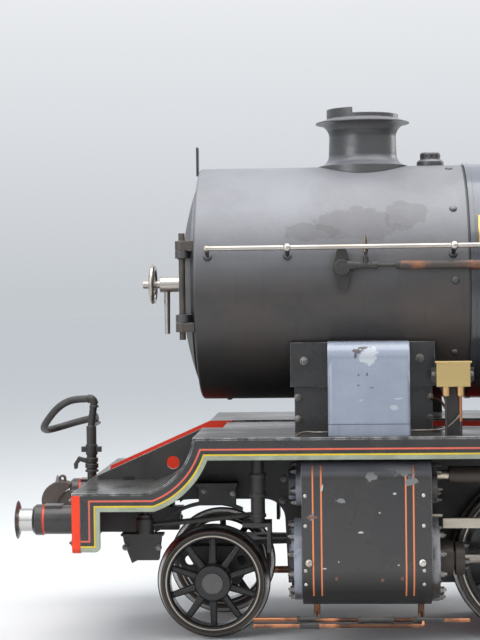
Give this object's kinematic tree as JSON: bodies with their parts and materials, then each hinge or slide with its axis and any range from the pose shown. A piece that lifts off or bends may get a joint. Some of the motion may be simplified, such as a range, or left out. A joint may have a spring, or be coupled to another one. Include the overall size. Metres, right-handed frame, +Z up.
{
  "type": "miniature steam locomotive",
  "caption": "Narrow 2-8-2 miniature steam locomotive without its tender, with opening smokebox door, swivelling trucks and moving rods.",
  "frame": {"origin": "on the floor under the middle of the length, at the bottom of the wheel flanges", "axes": "+X towards the rear, so the smokebox faces -X; +Y to the right-hand side of the engine; +Z up"},
  "size_m": [4.3, 0.97, 1.536],
  "materials": {
    "red_paint": "gloss",
    "frame_paint": "satin",
    "gloss_black": "gloss",
    "smokebox_paint": "matt",
    "boiler_paint": "gloss",
    "wheel_paint": "gloss",
    "polished_steel": "polished",
    "cast_iron": "oiled",
    "brass": "polished",
    "copper": "dull",
    "rubber": "ribbed, dull",
    "wood": "varnished"
  },
  "bodies": {
    "chassis": {"ashpan": "frame_paint", "axleboxes": "cast_iron", "blast_pipe": "cast_iron", "boiler_barrel": "boiler_paint", "brake_gear": "frame_paint", "cab_controls": "brass", "cab_floor": "wood", "cab_front": "boiler_paint", "cab_roof": "boiler_paint", "cab_sides": "boiler_paint", "chimney": "smokebox_paint", "cylinder_blocks": "cast_iron", "cylinder_cladding": "gloss_black", "cylinder_covers": "cast_iron", "door_hinge": "polished_steel", "drain_pipes": "copper", "driver_seats": "wood", "firebox": "boiler_paint", "footplating": "gloss_black", "frame_stretchers": "frame_paint", "front_beam": "red_paint", "front_buffers": "polished_steel", "front_coupler": "cast_iron", "front_handrail_and_lamp_iron": "polished_steel", "main_frames": "frame_paint", "motion_brackets": "frame_paint", "nameplates": "brass", "pony_control_gear": "frame_paint", "rear_drag_beam": "frame_paint", "safety_valves_and_whistle": "brass", "side_handrails": "polished_steel", "slide_bars": "polished_steel", "smokebox": "smokebox_paint", "smokebox_saddle": "smokebox_paint", "snifting_valve": "smokebox_paint", "steam_dome": "boiler_paint", "steam_pipe_and_lubricators": "brass", "steam_pipe_covers": "gloss_black", "vacuum_hose": "rubber", "vacuum_standpipe": "frame_paint", "valances": "gloss_black", "valve_gear": "polished_steel"},
    "smokebox_door": {"smokebox_door": "smokebox_paint", "door_dart": "polished_steel"},
    "pony_truck": {"pony_truck_frame": "frame_paint"},
    "pony_axle": {"pony_wheelset": "wheel_paint"},
    "trailing_truck": {"trailing_truck_frame": "frame_paint"},
    "trailing_axle": {"trailing_wheelset": "wheel_paint"},
    "coupled_axle_1": {"driving_wheelset_1": "wheel_paint"},
    "coupled_axle_2": {"driving_wheelset_2": "wheel_paint"},
    "coupled_axle_3": {"driving_wheelset_3": "wheel_paint"},
    "coupled_axle_4": {"driving_wheelset_4": "wheel_paint"},
    "coupling_rod_left": {"coupling_rod_left": "polished_steel"},
    "coupling_rod_right": {"coupling_rod_right": "polished_steel"},
    "connecting_rod_left": {"connecting_rod_left": "polished_steel"},
    "connecting_rod_right": {"connecting_rod_right": "polished_steel"},
    "eccentric_rod_left": {"eccentric_rod_left": "polished_steel"},
    "eccentric_rod_right": {"eccentric_rod_right": "polished_steel"},
    "crosshead_left": {"crosshead_left": "polished_steel"},
    "crosshead_right": {"crosshead_right": "polished_steel"}
  },
  "joints": [
    {"name": "driving_axle_spin", "type": "hinge", "parent": "chassis", "child": "coupled_axle_3", "pos_m": [0.305, 0, 0.2345], "axis": [0, 1, 0], "continuous": true},
    {"name": "coupled_axle_1_spin", "type": "hinge", "parent": "chassis", "child": "coupled_axle_1", "pos_m": [-0.685, 0, 0.2345], "axis": [0, 1, 0], "continuous": true},
    {"name": "coupled_axle_2_spin", "type": "hinge", "parent": "chassis", "child": "coupled_axle_2", "pos_m": [-0.19, 0, 0.2345], "axis": [0, 1, 0], "continuous": true},
    {"name": "coupled_axle_4_spin", "type": "hinge", "parent": "chassis", "child": "coupled_axle_4", "pos_m": [0.8, 0, 0.2345], "axis": [0, 1, 0], "continuous": true},
    {"name": "coupling_rod_left_pin", "type": "hinge", "parent": "coupled_axle_3", "child": "coupling_rod_left", "pos_m": [0.38137, -0.261, 0.15813], "axis": [0, 1, 0], "continuous": true},
    {"name": "connecting_rod_left_pin", "type": "hinge", "parent": "coupled_axle_3", "child": "connecting_rod_left", "pos_m": [0.38137, -0.292, 0.15813], "axis": [0, 1, 0], "continuous": true},
    {"name": "eccentric_rod_left_pin", "type": "hinge", "parent": "coupled_axle_3", "child": "eccentric_rod_left", "pos_m": [0.27106, -0.34, 0.20056], "axis": [0, 1, 0], "continuous": true},
    {"name": "coupling_rod_right_pin", "type": "hinge", "parent": "coupled_axle_3", "child": "coupling_rod_right", "pos_m": [0.22863, 0.261, 0.15813], "axis": [0, 1, 0], "continuous": true},
    {"name": "connecting_rod_right_pin", "type": "hinge", "parent": "coupled_axle_3", "child": "connecting_rod_right", "pos_m": [0.22863, 0.292, 0.15813], "axis": [0, 1, 0], "continuous": true},
    {"name": "eccentric_rod_right_pin", "type": "hinge", "parent": "coupled_axle_3", "child": "eccentric_rod_right", "pos_m": [0.27106, 0.34, 0.26844], "axis": [0, 1, 0], "continuous": true},
    {"name": "crosshead_left_slide", "type": "slide", "parent": "chassis", "child": "crosshead_left", "axis": [1, 0, 0], "range_m": [-0.189, 0.026]},
    {"name": "crosshead_right_slide", "type": "slide", "parent": "chassis", "child": "crosshead_right", "axis": [1, 0, 0], "range_m": [-0.036, 0.179]},
    {"name": "pony_truck_swivel", "type": "hinge", "parent": "chassis", "child": "pony_truck", "pos_m": [-1.1, 0, 0.27], "axis": [0, 0, 1], "range_deg": [-3, 3]},
    {"name": "pony_axle_spin", "type": "hinge", "parent": "pony_truck", "child": "pony_axle", "pos_m": [-1.6, 0, 0.1645], "axis": [0, 1, 0], "continuous": true},
    {"name": "trailing_truck_swivel", "type": "hinge", "parent": "chassis", "child": "trailing_truck", "pos_m": [1.09, 0, 0.27], "axis": [0, 0, 1], "range_deg": [-3, 3]},
    {"name": "trailing_axle_spin", "type": "hinge", "parent": "trailing_truck", "child": "trailing_axle", "pos_m": [1.56, 0, 0.1645], "axis": [0, 1, 0], "continuous": true},
    {"name": "smokebox_door_hinge", "type": "hinge", "parent": "chassis", "child": "smokebox_door", "pos_m": [-1.671, -0.3, 1.0235], "axis": [0, 0, 1], "range_deg": [0, 110]}
  ],
  "couplings": [
    {"joint": "coupled_axle_1_spin", "follows": "driving_axle_spin", "ratio": 1},
    {"joint": "coupled_axle_2_spin", "follows": "driving_axle_spin", "ratio": 1},
    {"joint": "coupled_axle_4_spin", "follows": "driving_axle_spin", "ratio": 1},
    {"joint": "coupling_rod_left_pin", "follows": "driving_axle_spin", "ratio": -1},
    {"joint": "connecting_rod_left_pin", "follows": "driving_axle_spin", "ratio": -1},
    {"joint": "eccentric_rod_left_pin", "follows": "driving_axle_spin", "ratio": -1},
    {"joint": "coupling_rod_right_pin", "follows": "driving_axle_spin", "ratio": -1},
    {"joint": "connecting_rod_right_pin", "follows": "driving_axle_spin", "ratio": -1},
    {"joint": "eccentric_rod_right_pin", "follows": "driving_axle_spin", "ratio": -1}
  ]
}
